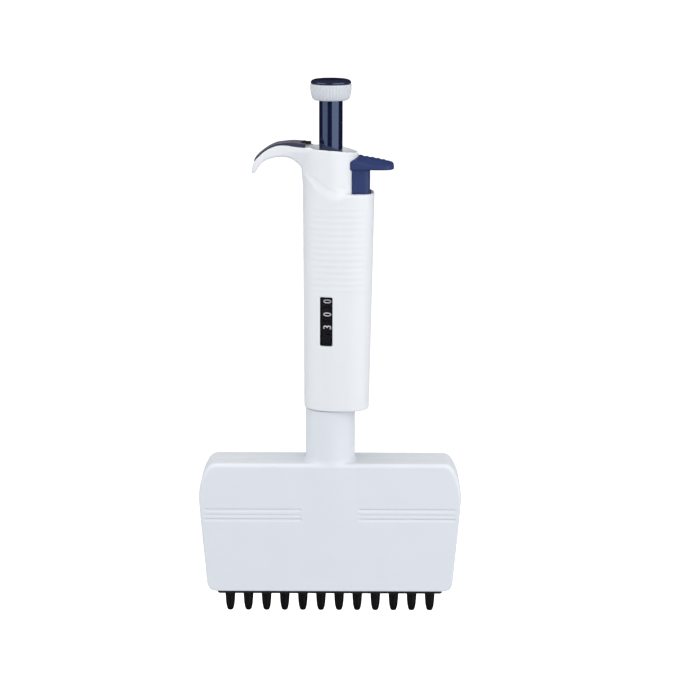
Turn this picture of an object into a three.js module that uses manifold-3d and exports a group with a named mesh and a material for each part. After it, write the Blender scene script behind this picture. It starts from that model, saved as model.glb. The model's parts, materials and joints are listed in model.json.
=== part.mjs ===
// Twelve-channel adjustable air-displacement pipette, hanging upright.
// Millimetres. +Z up, the counter window faces -Y, the finger hook points to -X.
// The origin is under the plunger axis, level with the nozzle ends.
import * as THREE from "three";
import { mergeVertices } from "three/addons/utils/BufferGeometryUtils.js";
import Module from "manifold-3d";

const wasm = await Module();
wasm.setup();

// ---------------------------------------------------------------- driving dimensions
const CHANNELS = 12;
const PITCH = 9;
const GAP = 0.3;

const PISTON_R = 2.75;
const PISTON_REST_Z = 36.6;
const PISTON_TOP_Z = 57.8;

const CONE_TOP_Z = 41.5;
const CONE_SEAT_Z = 19.6;

const HEAD_HALF_DEPTH = 12;
const HEAD_WALL = 1.8;
const HEAD_TOP_Z = 78;

const NECK_R = 11.9;
const NECK_BORE_R = 10.45;
const NECK_TOP_Z = 104.2;

const GRIP_BOTTOM_Z = 104.5;
const SHOULDER_Z = 209.5;
const TOWER_R = 13.3;
const BORE_R = 11.3;
const MOUTH_R = 12.2;

const ROD_R = 2.5;
const ROD_COLLAR_R = 5.5;
const SPINDLE_R = 4.7;
const SLEEVE_R = 5.6;
const STOP_TUBE_R = 6.9;
const EJECTOR_TUBE_R = 8.4;
const SPIGOT_R = 10.2;

const EJECTOR_ROD_X = 15.3;
const EJECTOR_ROD_R = 1.6;

const DIGIT_RING_R = 10.1;
const DIGIT_RING_HALF = 3.1;
const DIGIT_RING_Z = { ones: 158.2, tens: 151.65, hundreds: 145.1 };

const WINDOW = { x: -1.9, width: 6.2, low: 137.1, high: 161.4, corner: 1.1 };

const GUIDE_X = 55.6;
const SCREW_X = 18;
const SCREW_Z = 17.2;

const nozzleXs = Array.from({ length: CHANNELS }, (_, n) => (n - (CHANNELS - 1) / 2) * PITCH);

// ---------------------------------------------------------------- solids and joins
function solid(geometry) {
  const bare = geometry.index ? geometry.toNonIndexed() : geometry.clone();
  bare.deleteAttribute("normal");
  bare.deleteAttribute("uv");
  const merged = mergeVertices(bare, 1e-4);
  const index = merged.index.array;
  const corners = [];
  for (let i = 0; i < index.length; i += 3) {
    const [a, b, c] = [index[i], index[i + 1], index[i + 2]];
    if (a !== b && b !== c && c !== a) corners.push(a, b, c);
  }
  return new wasm.Manifold(new wasm.Mesh({
    numProp: 3,
    vertProperties: Float32Array.from(merged.attributes.position.array),
    triVerts: Uint32Array.from(corners),
  }));
}

function join(...pieces) {
  return pieces.reduce((whole, piece) => whole.add(piece));
}

function cut(whole, ...tools) {
  return tools.reduce((left, tool) => left.subtract(tool), whole);
}

function toGeometry(body) {
  const mesh = body.getMesh();
  const geometry = new THREE.BufferGeometry();
  const flat = new Float32Array(mesh.numVert * 3);
  for (let v = 0; v < mesh.numVert; v += 1) {
    for (let k = 0; k < 3; k += 1) flat[v * 3 + k] = mesh.vertProperties[v * mesh.numProp + k];
  }
  geometry.setAttribute("position", new THREE.BufferAttribute(flat, 3));
  geometry.setIndex(Array.from(mesh.triVerts));
  return geometry.toNonIndexed();
}

// A turned body about Z. The profile is [radius, z] pairs, anticlockwise in the radius-z plane.
function turned(profile, segments = 28) {
  const points = profile.map(([r, z]) => new THREE.Vector2(r, z));
  if (profile[0][0] > 0) points.push(points[0].clone());
  const geometry = new THREE.LatheGeometry(points, segments);
  geometry.rotateX(Math.PI / 2);
  return solid(geometry);
}

function rod(radius, low, high, segments = 20, x = 0) {
  return turned([[0, low], [radius, low], [radius, high], [0, high]], segments).translate([x, 0, 0]);
}

function tube(inner, outer, low, high, segments = 28) {
  return turned([[inner, low], [outer, low], [outer, high], [inner, high]], segments);
}

// A rod along Y, centred on (x, z).
function crossRod(radius, x, z, yLow, yHigh, segments = 16) {
  return rod(radius, yLow, yHigh, segments).rotate([-90, 0, 0]).translate([x, 0, z]);
}

function block(x, y, z) {
  const geometry = new THREE.BoxGeometry(x[1] - x[0], y[1] - y[0], z[1] - z[0]);
  geometry.translate((x[0] + x[1]) / 2, (y[0] + y[1]) / 2, (z[0] + z[1]) / 2);
  return solid(geometry);
}

// A closed body through level outlines that all have the same number of points.
function loft(sections) {
  const count = sections[0].outline.length;
  const position = [];
  for (const { z, outline } of sections) {
    for (const [x, y] of outline) position.push(x, y, z);
  }
  const index = [];
  for (let level = 0; level < sections.length - 1; level += 1) {
    for (let i = 0; i < count; i += 1) {
      const a = level * count + i;
      const b = level * count + (i + 1) % count;
      index.push(a, b, b + count, a, b + count, a + count);
    }
  }
  const top = (sections.length - 1) * count;
  const flat = sections[0].outline.map(([x, y]) => new THREE.Vector2(x, y));
  for (const [a, b, c] of THREE.ShapeUtils.triangulateShape(flat, [])) {
    index.push(a, c, b, top + a, top + b, top + c);
  }
  const geometry = new THREE.BufferGeometry();
  geometry.setAttribute("position", new THREE.BufferAttribute(Float32Array.from(position), 3));
  geometry.setIndex(index);
  return solid(geometry);
}

function shapeOf(points) {
  return new THREE.Shape(points.map(([x, y]) => new THREE.Vector2(x, y)));
}

// An outline in the XZ plane, carried along Y. A bevel rounds its two outer edges.
function acrossY(points, yLow, yHigh, bevel = 0, bevelSegments = 2) {
  const geometry = new THREE.ExtrudeGeometry(shapeOf(points), {
    depth: yHigh - yLow - 2 * bevel,
    bevelEnabled: bevel > 0,
    bevelSize: bevel,
    bevelThickness: bevel,
    bevelOffset: -bevel,
    bevelSegments,
  });
  geometry.translate(0, 0, bevel);
  geometry.rotateX(Math.PI / 2);
  geometry.translate(0, yHigh, 0);
  return solid(geometry);
}

// An outline in the XY plane, carried up Z.
function upZ(points, low, high) {
  const geometry = new THREE.ExtrudeGeometry(shapeOf(points), { depth: high - low, bevelEnabled: false });
  geometry.translate(0, 0, low);
  return solid(geometry);
}

// A curve through the given points, as a list of pairs.
function smooth(points, pieces) {
  const curve = new THREE.SplineCurve(points.map(([x, y]) => new THREE.Vector2(x, y)));
  return curve.getPoints(pieces).map((p) => [p.x, p.y]);
}

function roundedRect(xLow, xHigh, yLow, yHigh, radius, steps = 4) {
  const corners = [
    [xHigh - radius, yLow + radius, -90],
    [xHigh - radius, yHigh - radius, 0],
    [xLow + radius, yHigh - radius, 90],
    [xLow + radius, yLow + radius, 180],
  ];
  return corners.flatMap(([x, y, start]) => Array.from({ length: steps + 1 }, (_, n) => {
    const angle = THREE.MathUtils.degToRad(start + (90 * n) / steps);
    return [x + radius * Math.cos(angle), y + radius * Math.sin(angle)];
  }));
}

class Helix extends THREE.Curve {
  constructor(radius, low, high, turns) {
    super();
    Object.assign(this, { radius, low, high, turns });
  }

  getPoint(t, target = new THREE.Vector3()) {
    const angle = 2 * Math.PI * this.turns * t;
    const z = this.low + (this.high - this.low) * t;
    return target.set(this.radius * Math.cos(angle), this.radius * Math.sin(angle), z);
  }
}

// A coil spring whose ends stay inside [low, high].
function coil({ radius, wire, low, high, turns }) {
  const helix = new Helix(radius, low + wire, high - wire, turns);
  const section = Array.from({ length: 4 }, (_, n) => {
    const angle = (Math.PI * n) / 2;
    return [wire * Math.cos(angle), wire * Math.sin(angle)];
  });
  return solid(new THREE.ExtrudeGeometry(shapeOf(section), {
    steps: turns * 8,
    extrudePath: helix,
    bevelEnabled: false,
  }));
}

// ---------------------------------------------------------------- materials and naming
const finishes = {
  handle_white: [0xe8ebee, 0.42, 0],
  head_white: [0xdfe4e7, 0.5, 0],
  inner_white: [0xd4d8da, 0.55, 0],
  navy: [0x1b1f45, 0.2, 0],
  ejector_navy: [0x333d72, 0.42, 0],
  strip_navy: [0x2a2d52, 0.45, 0],
  ring_white: [0xeceef0, 0.45, 0],
  black: [0x151517, 0.5, 0],
  digit_black: [0x101012, 0.4, 0],
  lens_clear: [0xdfe6ea, 0.05, 0],
  cone_black: [0x1d1d20, 0.42, 0],
  piston_steel: [0xb9bdc2, 0.25, 1],
  spring_steel: [0xa9adb3, 0.3, 1],
};
const materials = {};
for (const [name, [color, roughness, metalness]] of Object.entries(finishes)) {
  materials[name] = new THREE.MeshStandardMaterial({ name, color, roughness, metalness });
}

const pipette = new THREE.Group();
pipette.name = "twelve_channel_pipette";

function put(name, finish, body, x = 0, z = 0) {
  const mesh = new THREE.Mesh(toGeometry(body), materials[finish]);
  mesh.name = name;
  mesh.position.set(x, 0, z);
  pipette.add(mesh);
}

// ---------------------------------------------------------------- handle
// Egg-shaped level outline: blunter on the ejector side (+X) than round the plunger (-X).
function eggOutline(left, right, half, inset = 0, count = 44) {
  const middle = 4;
  return Array.from({ length: count }, (_, n) => {
    const angle = (2 * Math.PI * n) / count;
    const [c, s] = [Math.cos(angle), Math.sin(angle)];
    const reach = c > 0 ? right - middle - inset : middle - left - inset;
    const power = c > 0 ? 2 / 3.1 : 2 / 2.25;
    const x = middle + reach * Math.sign(c) * Math.abs(c) ** power;
    return [x, (half - inset) * Math.sign(s) * Math.abs(s) ** power];
  });
}

function gripOutline(z, inset = 0) {
  const t = (z - GRIP_BOTTOM_Z) / (SHOULDER_Z - GRIP_BOTTOM_Z);
  return eggOutline(-12.75 - 0.5 * t, 18.8 + 2.1 * t, 13.6 + 0.4 * t, inset);
}

function gripBody() {
  const levels = [
    [GRIP_BOTTOM_Z, 0.6], [GRIP_BOTTOM_Z + 0.3, 0.15], [GRIP_BOTTOM_Z + 0.9, 0],
    [207.8, 0], [209, 0.4], [SHOULDER_Z, 1.1], [219.5, 1.1],
  ];
  const sections = levels.map(([z, inset]) => ({ z, outline: gripOutline(z, inset) }));
  const step = smooth([[-16, 218.9], [-13, 218.5], [-8, 217], [0.7, 211.6], [9, 209.6], [13, 209.5]], 14);
  const above = acrossY([...step, [24, 209.5], [24, 225], [-16, 225]], -16, 16);
  return cut(loft(sections), above);
}

function tower() {
  const column = turned([[0, 150], [TOWER_R, 150], [TOWER_R, 232], [0, 232]], 48);
  const dip = smooth([[-15, 231.2], [-9.6, 230.8], [0, 230.4], [7, 229.6], [11, 228.9], [15, 228]], 10);
  const rim = acrossY([...dip, [15, 234], [-15, 234]], -15, 15);
  return cut(column, rim);
}

// The level outline of the hook: wide at the tower, narrower towards its rounded tip.
function hookPlan(inset = 0) {
  const side = smooth([
    [-6, 9.2], [-13, 8.3], [-20, 6.4], [-30, 5.3], [-34.8, 4.2], [-36.7, 2.3], [-37.1, 0],
  ], 14);
  const near = side.map(([x, y]) => [x, y - Math.min(inset, y)]);
  return [...near, ...near.slice(0, -1).reverse().map(([x, y]) => [x, -y])].reverse();
}

const hookUnderside = smooth([
  [-36.3, 218.6], [-35.7, 219.4], [-35.1, 221], [-34.1, 222.7], [-31.95, 224.5], [-29.2, 225.9],
  [-25.6, 226.6], [-22.2, 226.6], [-19.2, 225.9], [-17.1, 224.5], [-14.95, 222.9], [-13.5, 220.4],
  [-12.9, 216.5],
], 24);
const hookSeam = smooth([
  [-36.6, 224.1], [-35.05, 226.3], [-33.35, 228.2], [-31.9, 229.7], [-29.7, 231.1], [-27.6, 231.9],
  [-25.5, 232.3], [-23, 232.4], [-20.2, 232.1], [-17, 231.65], [-12.8, 231.4], [-8, 231.2],
], 22);
const hookTop = smooth([
  [-36.3, 225.1], [-35.2, 226.95], [-33.4, 228.8], [-31.3, 230.5], [-29.1, 231.75], [-24.8, 233],
  [-20, 233.3], [-17, 233.3], [-13.9, 233], [-8.4, 232.8],
], 20);

function hook() {
  const seat = hookSeam.map(([x, z]) => [x, z - GAP]).reverse();
  const tip = [[-36.95, 222.6], [-37.05, 221], [-37.05, 219.3], [-36.8, 218.75]];
  const root = [[-9, 220], [-7, 229]];
  const side = acrossY([...hookUnderside, ...root, ...seat, ...tip], -10, 10);
  return side.intersect(upZ(hookPlan(), 214, 236));
}

function stemPlan(grow = 0) {
  return roundedRect(0, 18.7 + grow, -9.1 - grow, 9.1 + grow, 3.2 + grow, 4);
}

function windowPlan(inset = 0) {
  const { x, width, low, high, corner } = WINDOW;
  const half = width / 2 - inset;
  return roundedRect(x - half, x + half, low + inset, high - inset, corner - inset);
}

function gripRibs() {
  return Array.from({ length: 14 }, (_, n) => {
    const groove = rod(0.75, 3.5, 15.5, 6).rotate([0, 90, 0]);
    return groove.translate([0, -14.3, 202.8 - 3 * n]);
  });
}

function handleShell() {
  const outside = join(gripBody(), tower(), hook());
  const mouth = rod(MOUTH_R, 219, 240, 40);
  const bore = rod(BORE_R, GRIP_BOTTOM_Z - 1, 220, 40);
  const armRoom = block([0, 17.8], [-3.1, 3.1], [119, 134.5]);
  const rodWay = rod(2, 130, 200, 16, EJECTOR_ROD_X);
  const springRoom = rod(3.3, 186, 210, 20, EJECTOR_ROD_X);
  const socket = cut(upZ(stemPlan(GAP), 198.9, 216), rod(TOWER_R, 190, 220, 48));
  const capRoom = upZ(gripOutline(GRIP_BOTTOM_Z, 1.05), GRIP_BOTTOM_Z - 1, 109);
  const window = acrossY(windowPlan(), -16, -9);
  return cut(outside, mouth, bore, armRoom, rodWay, springRoom, socket, capRoom, window, ...gripRibs());
}

put("handle_shell", "handle_white", handleShell());

const stripProfile = [...hookSeam, ...[...hookTop].reverse()];
const strip = acrossY([...stripProfile].reverse(), -10, 10).intersect(upZ(hookPlan(0.15), 220, 236));
const stripTongue = block([-14, -9.3], [-4.5, 4.5], [232.3, 233.1]);
put("hook_strip", "strip_navy", join(cut(strip, rod(MOUTH_R + 0.15, 215, 240, 48)), stripTongue));

const lensFront = loft([130, 150, 170].map((z) => ({ z, outline: gripOutline(z, 0.15) })));
put("window_lens", "lens_clear", acrossY(windowPlan(GAP), -15, -11.8).intersect(lensFront));

put("top_bush", "inner_white", tube(SLEEVE_R + GAP, BORE_R - GAP, 214, 218, 32));

const capPlate = upZ(gripOutline(GRIP_BOTTOM_Z, 1.35), 104.9, 108.7);
put("bottom_cap", "inner_white", cut(capPlate, rod(SPIGOT_R + 0.2, 104, 110, 40)));

put("stop_tube", "inner_white", turned([
  [2.8, 98], [STOP_TUBE_R, 98], [STOP_TUBE_R, 131.4], [11, 131.4],
  [11, 133.9], [5.9, 133.9], [5.9, 101], [2.8, 101],
]));
put("blowout_spring", "spring_steel", coil({ radius: 4.6, wire: 0.55, low: 101.3, high: 113.4, turns: 4 }));
const ejectorSpring = coil({ radius: 2.45, wire: 0.35, low: 186.3, high: 206.2, turns: 6 });
put("ejector_spring", "spring_steel", ejectorSpring, EJECTOR_ROD_X);

// ---------------------------------------------------------------- volume counter
function counterFrame() {
  const plates = [tube(5, 11, 134.2, 136.4, 32), tube(5, 11, 161.6, 163.2, 32)];
  const cage = tube(10.4, 11, 135, 162, 32);
  const rear = upZ([[-7.2, 12], [-6, 8.3], [6, 8.3], [7.2, 12]].reverse(), 134, 163.2);
  return join(...plates, cage.intersect(rear));
}

put("counter_frame", "black", counterFrame());
put("counter_spacer", "digit_black", tube(5, DIGIT_RING_R, 136.7, 141.7));
const digitRing = tube(5, DIGIT_RING_R, -DIGIT_RING_HALF, DIGIT_RING_HALF);
for (const [place, z] of Object.entries(DIGIT_RING_Z)) {
  put(`digit_ring_${place}`, "digit_black", digitRing, 0, z);
}
put("drive_spindle", "inner_white", turned([
  [2.8, 131], [SPINDLE_R, 131], [SPINDLE_R, 163.6], [6.6, 163.6], [6.6, 165.4], [SPINDLE_R, 165.4],
  [SPINDLE_R, 222], [2.8, 222],
], 24));

// ---------------------------------------------------------------- plunger and push-and-turn knob
put("plunger_rod", "piston_steel", turned([
  [0, 62.9], [ROD_R, 62.9], [ROD_R, 126], [ROD_COLLAR_R, 126], [ROD_COLLAR_R, 129], [ROD_R, 129],
  [ROD_R, 250.1], [0, 250.1],
], 20));
put("plunger_sleeve", "navy", tube(4.9, SLEEVE_R, 212, 258));
put("button_cap", "navy", turned([
  [0, 250.4], [4.6, 250.4], [4.6, 260.85], [9.3, 260.85], [9.5, 261.1], [9.4, 261.5],
  [9.1, 262], [8.65, 262.5], [8.1, 262.87], [7.4, 263.1], [6.2, 263.22], [3.4, 263.28], [0, 263.3],
], 32));

function flutedOutline(radius, depth, flutes = 30) {
  return Array.from({ length: flutes * 2 }, (_, n) => {
    const angle = (Math.PI * n) / flutes;
    const reach = n % 2 ? radius : radius - depth;
    return [reach * Math.cos(angle), reach * Math.sin(angle)];
  });
}

// Height, radius and flute depth, going up the ring.
const ringProfile = [
  [253.15, 8.1, 0.1], [253.5, 8.4, 0.2], [254.3, 8.8, 0.3], [255.2, 9.1, 0.3], [257, 9.52, 0.3],
  [259.5, 9.8, 0.3], [260.55, 9.75, 0.2],
];
const ringBody = loft(ringProfile.map(([z, radius, depth]) => {
  return { z, outline: flutedOutline(radius, depth) };
}));
put("adjust_ring", "ring_white", cut(ringBody, rod(SLEEVE_R + GAP, 250, 262, 28)));

// ---------------------------------------------------------------- tip ejector
function ejectorButton() {
  const head = acrossY([
    [6, 220.8], [28.6, 220.8], [29.5, 221.3], [30, 222.6], [29.8, 223.5], [29, 224.2], [25, 225.1],
    [20, 226.2], [15, 227.1], [12, 227.3], [6, 226.4],
  ], -10, 10);
  const plan = upZ(roundedRect(0, 30, -10, 10, 5.5, 6), 218, 229);
  const crown = acrossY(roundedRect(-10, 10, 214, 227.3, 3.4, 5), 0, 32).rotate([0, 0, -90]);
  const stem = upZ(stemPlan(), 206.5, 222);
  const hug = rod(TOWER_R + GAP, 200, 232, 48);
  const left = block([-15, 8.4], [-15, 15], [200, 232]);
  return cut(join(head.intersect(plan).intersect(crown), stem), hug, left);
}

put("ejector_button", "ejector_navy", ejectorButton());
put("ejector_rod", "piston_steel", rod(EJECTOR_ROD_R, 131.3, 206.2, 14), EJECTOR_ROD_X);

const arm = upZ(roundedRect(8, 17.3, -2.5, 2.5, 1.5, 3), 128, 131);
put("ejector_bridge", "inner_white", cut(join(rod(10.6, 128, 131, 28), arm), rod(7.3, 120, 140, 28)));
put("ejector_sleeve", "inner_white", tube(7.2, EJECTOR_TUBE_R, 73.8, 127.7, 28));

function ejectorYoke() {
  const plate = upZ(roundedRect(-53.5, 53.5, -9, 9, 1.2, 2), 70.3, 73.5);
  const gaps = [[-55, -9.5], [9.5, 55]].map((x) => block(x, [-6.9, 6.9], [69, 75]));
  const legs = [-1, 1].flatMap((side) => [-1, 1].map((face) => {
    const x = side > 0 ? [47.5, 53.5] : [-53.5, -47.5];
    const y = face > 0 ? [7, 9] : [-9, -7];
    return block(x, y, [13.8, 71]);
  }));
  return cut(join(plate, ...legs), ...gaps, rod(3.2, 65, 80, 16));
}

put("ejector_yoke", "inner_white", ejectorYoke());

function ejectorComb() {
  const plate = upZ(roundedRect(-55.2, 55.2, -9.5, 9.5, 3, 4), 11.5, 13.5);
  const collar = turned([[0, 7.4], [2.9, 7.4], [3, 9.5], [3.8, 11.7], [0, 11.7]], 12);
  const hole = turned([[0, 7.2], [2.6, 7.2], [3.15, 13.8], [0, 13.8]], 12);
  const collars = nozzleXs.map((x) => collar.translate([x, 0, 0]));
  const holes = nozzleXs.map((x) => hole.translate([x, 0, 0]));
  return cut(join(plate, ...collars), ...holes);
}

put("ejector_comb", "black", ejectorComb());

// ---------------------------------------------------------------- twelve-channel head
function mirrored(half) {
  return [...half, ...half.map(([x, z]) => [-x, z]).reverse()];
}

const headHalf = [
  [56, 13.8], [58.7, 14.6], [60, 16.6], [60.4, 19], [61.35, 30], [62.7, 45], [63.75, 58], [63.85, 63],
  [63.4, 67], [62.4, 71], [61, 74.3], [59.6, 76.4], [58.2, 77.6], [56.4, HEAD_TOP_Z],
];
const innerHalf = [
  [54.8, 12], [54.8, 15.6], [56.2, 16], [58.4, 19.2], [59.5, 30], [60.8, 45], [61.9, 58], [61.9, 63],
  [61.4, 66.8], [60.4, 70.4], [59, 73.4], [57.6, 75.2], [55.8, 76.2],
];

function headOutside() {
  const bodyOfHead = acrossY(mirrored(headHalf), -HEAD_HALF_DEPTH, HEAD_HALF_DEPTH, 1.5, 3);
  const neck = turned([
    [0, 60], [NECK_R, 60], [NECK_R + 1.4, 77.9], [NECK_R + 0.4, 79.2], [NECK_R, 81],
    [NECK_R, NECK_TOP_Z], [0, NECK_TOP_Z],
  ], 40);
  const column = turned([[0, 20], [12, 20], [12.8, 76], [0, 78]], 40);
  return join(bodyOfHead, neck, column);
}

function headGrooves() {
  const bands = [[55.9, 0.9], [53.3, 0.5], [50.9, 0.9]];
  return bands.flatMap(([z, depth]) => [-1, 1].flatMap((side) => [-1, 1].map((face) => {
    const groove = rod(0.9, 14, 61.2, 8).rotate([0, side * 90, 0]);
    return groove.translate([0, face * (HEAD_HALF_DEPTH + 0.9 - depth), z - 0.8]);
  })));
}

function headShell() {
  const hollow = acrossY(mirrored(innerHalf), HEAD_WALL - HEAD_HALF_DEPTH, HEAD_HALF_DEPTH - HEAD_WALL);
  const bosses = [-1, 1].map((side) => crossRod(3.4, side * SCREW_X, SCREW_Z + 0.6, 8.3, 10.6, 16));
  const shell = cut(headOutside(), hollow, rod(NECK_BORE_R, 74.2, 106, 36), ...headGrooves());
  const pockets = [-1, 1].map((side) => crossRod(2.5, side * SCREW_X, SCREW_Z, 10.4, 14, 20));
  const holes = [-1, 1].map((side) => crossRod(1.5, side * SCREW_X, SCREW_Z, 6, 14, 12));
  return cut(join(shell, ...bosses), ...pockets, ...holes);
}

const shell = headShell();
const frontHalf = block([-70, 70], [-20, -0.15], [0, 110]);
const rearHalf = block([-70, 70], [0.15, 20], [0, 110]);
put("head_cover_front", "head_white", shell.intersect(frontHalf));
put("head_cover_rear", "head_white", shell.intersect(rearHalf));

// The flange is flat front and back, so it stays inside the covers and turns with them.
const spigotFlange = rod(11.4, 74.6, 75.9, 28).intersect(block([-12, 12], [-9.8, 9.8], [74, 77]));
const spigotTube = rod(SPIGOT_R, 74.6, 120, 28);
put("neck_spigot", "inner_white", cut(join(spigotFlange, spigotTube), rod(8.7, 70, 125, 28)));
put("retaining_ring", "spring_steel", tube(10.4, 11, 109.3, 110.9));

function coneBase() {
  const half = [[54.5, 14.4], [54.5, 15.95], [55.9, 16.4], [57.9, CONE_SEAT_Z]];
  const plate = acrossY(mirrored(half), -6.6, 6.6);
  const seats = nozzleXs.map((x) => rod(3.1, 13, 21, 12, x));
  const guides = [-1, 1].map((side) => rod(1.8, 16.9, 21, 12, side * GUIDE_X));
  const threads = [-1, 1].map((side) => crossRod(1.5, side * SCREW_X, SCREW_Z, 3.7, 8, 12));
  return cut(plate, ...seats, ...guides, ...threads);
}

put("cone_base", "inner_white", coneBase());

const screwHead = crossRod(2.2, 0, SCREW_Z, 10.7, 11.9, 20);
const screwSlot = block([-3, 3], [11.3, 13], [SCREW_Z - 0.35, SCREW_Z + 0.35]);
const screw = join(cut(screwHead, screwSlot), crossRod(1.2, 0, SCREW_Z, 4, 11, 12));
const guideRod = rod(1.5, 17.2, 69.5, 12);
const returnSpring = coil({ radius: 2.1, wire: 0.3, low: 19.9, high: 57.5, turns: 8 });
for (const [number, side, sign] of [[1, "left", -1], [2, "right", 1]]) {
  put(`cover_screw_${number}`, "spring_steel", screw, sign * SCREW_X);
  put(`guide_rod_${side}`, "piston_steel", guideRod, sign * GUIDE_X);
  put(`return_spring_${side}`, "spring_steel", returnSpring, sign * GUIDE_X);
}

function pistonBridge() {
  const bar = upZ(roundedRect(-58.5, 58.5, -4.5, 4.5, 2, 3), PISTON_TOP_Z, 62.6);
  return cut(bar, ...[-1, 1].map((side) => rod(1.8, 55, 65, 12, side * GUIDE_X)));
}

put("piston_bridge", "inner_white", pistonBridge());

const coneProfile = [
  [0.9, 0], [1.4, 0], [1.85, 0.8], [2.05, 2.8], [2.36, 8.5], [2.8, 14], [2.8, 19.9],
  [3.4, 19.9], [3.4, CONE_TOP_Z], [PISTON_R + 0.1, CONE_TOP_Z], [PISTON_R + 0.1, 20.4], [0.9, 19.6],
];
const cone = turned(coneProfile, 12);
const piston = rod(PISTON_R, PISTON_REST_Z, PISTON_TOP_Z - GAP, 10);
nozzleXs.forEach((x, n) => {
  const number = String(n + 1).padStart(2, "0");
  put(`tip_cone_${number}`, "cone_black", cone, x);
  put(`piston_${number}`, "piston_steel", piston, x);
});

export default pipette;
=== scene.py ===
"""Looks for the twelve-channel pipette: fine surfaces, materials, light and camera."""
import json
import math

import bmesh
import bpy
import numpy as np
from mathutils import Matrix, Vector


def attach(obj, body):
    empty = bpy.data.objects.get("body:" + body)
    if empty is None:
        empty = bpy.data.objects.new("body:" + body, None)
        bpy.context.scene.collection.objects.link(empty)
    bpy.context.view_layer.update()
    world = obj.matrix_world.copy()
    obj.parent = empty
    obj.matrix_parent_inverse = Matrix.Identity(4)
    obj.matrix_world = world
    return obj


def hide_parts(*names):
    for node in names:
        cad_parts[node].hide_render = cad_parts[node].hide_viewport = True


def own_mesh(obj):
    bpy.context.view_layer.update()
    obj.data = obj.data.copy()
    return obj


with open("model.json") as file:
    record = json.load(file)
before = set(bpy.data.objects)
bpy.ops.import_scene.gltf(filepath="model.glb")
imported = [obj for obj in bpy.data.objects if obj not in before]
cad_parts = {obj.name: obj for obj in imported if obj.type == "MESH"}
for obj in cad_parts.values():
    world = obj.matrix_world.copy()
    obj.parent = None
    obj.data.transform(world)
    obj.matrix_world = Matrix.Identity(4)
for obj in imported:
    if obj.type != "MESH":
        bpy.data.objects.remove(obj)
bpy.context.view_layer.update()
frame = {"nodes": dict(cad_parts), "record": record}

nodes = frame["nodes"]

MM = 0.001

# Driving dimensions, in millimetres, in the frame's own axes. "Half" is a half-width, R a radius.
CHANNELS, PITCH = 12, 9.0
BOTTOM, SHOULDER = 104.5, 209.5
TOWER_R, TOWER_FOOT = 13.3, 150
BORE_R, MOUTH_R, MOUTH_FLOOR = 11.3, 12.25, 219
SLEEVE_R = 5.6
ROD_X = 15.3  # the ejector rod
WINDOW = (-4.9, 1.05, 136.6, 160.5, 0.7)  # left, right, bottom, top, corner radius
DIGIT_RING_R, DIGIT_RING_HALF = 10.1, 3.1
# For each counter ring: its middle height, the digit it shows, and how far its print sits above
# the middle.
DIGIT_RINGS = {"ones": (158.2, 0, -0.2), "tens": (151.65, 0, 0), "hundreds": (145.1, 3, 0.25)}
RIB_PITCH, RIB_DEPTH = 3.0, 0.045
KEY_RIB_PITCH, KEY_RIB_DEPTH = 2.7, 0.15
HEAD_HALF_DEPTH, HEAD_TOP, HEAD_WALL = 12.0, 78.0, 1.8
NECK_R, NECK_BORE_R, NECK_TOP = 12.05, 10.45, 104.2
SCREW_X, SCREW_Z = 18.0, 17.2
GUIDE_X = 55.6
COMB_BOTTOM, COMB_TOP, COMB_HALF_LENGTH, COMB_HALF_DEPTH = 11.5, 13.5, 55.2, 9.5
COLLAR_LOW = 8.8
NOZZLES = [(n - (CHANNELS - 1) / 2) * PITCH for n in range(CHANNELS)]


# ---------- signed distances, in millimetres
def smooth_min(a, b, k):
    """The lower of two distances, blended where they differ by less than k."""
    h = np.clip(0.5 + 0.5 * (b - a) / k, 0, 1)
    return b + (a - b) * h - k * h * (1 - h)


def smooth_max(a, b, k):
    return -smooth_min(-a, -b, k)


def ramp(v, start, end):
    """0 at start and 1 at end, a straight line between them, and level beyond."""
    return np.clip((v - start) / (end - start), 0, 1)


def slab(v, low, high):
    """The distance to a layer between two levels."""
    return np.maximum(low - v, v - high)


def round_edge(a, b, r):
    """Where two distances meet, an edge of radius r."""
    a, b = a + r, b + r
    inside = np.minimum(np.maximum(a, b), 0)
    return inside + np.hypot(np.maximum(a, 0), np.maximum(b, 0)) - r


def rounded_box(u, v, low, high, r):
    """A rectangle from low to high in two directions, with corners of radius r."""
    return round_edge(slab(u, low[0], high[0]), slab(v, low[1], high[1]), r)


def spline(points, pieces):
    """A Catmull-Rom curve through the points, as an array of pairs."""
    p = np.array(points, float)
    p = np.vstack([2 * p[0] - p[1], p, 2 * p[-1] - p[-2]])
    out = []
    for t in np.linspace(0, len(points) - 1, pieces):
        i = min(int(t), len(points) - 2)
        f = t - i
        a, b, c, d = p[i], p[i + 1], p[i + 2], p[i + 3]
        out.append(0.5 * (2 * b + (c - a) * f + (2 * a - 5 * b + 4 * c - d) * f * f
                          + (3 * b - a - 3 * c + d) * f ** 3))
    return np.array(out)


def line_of(points, pieces=80):
    """A smooth curve as a function: the second value at each first value."""
    curve = spline(points, pieces)
    return lambda v: np.interp(v, curve[:, 0], curve[:, 1])


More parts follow.
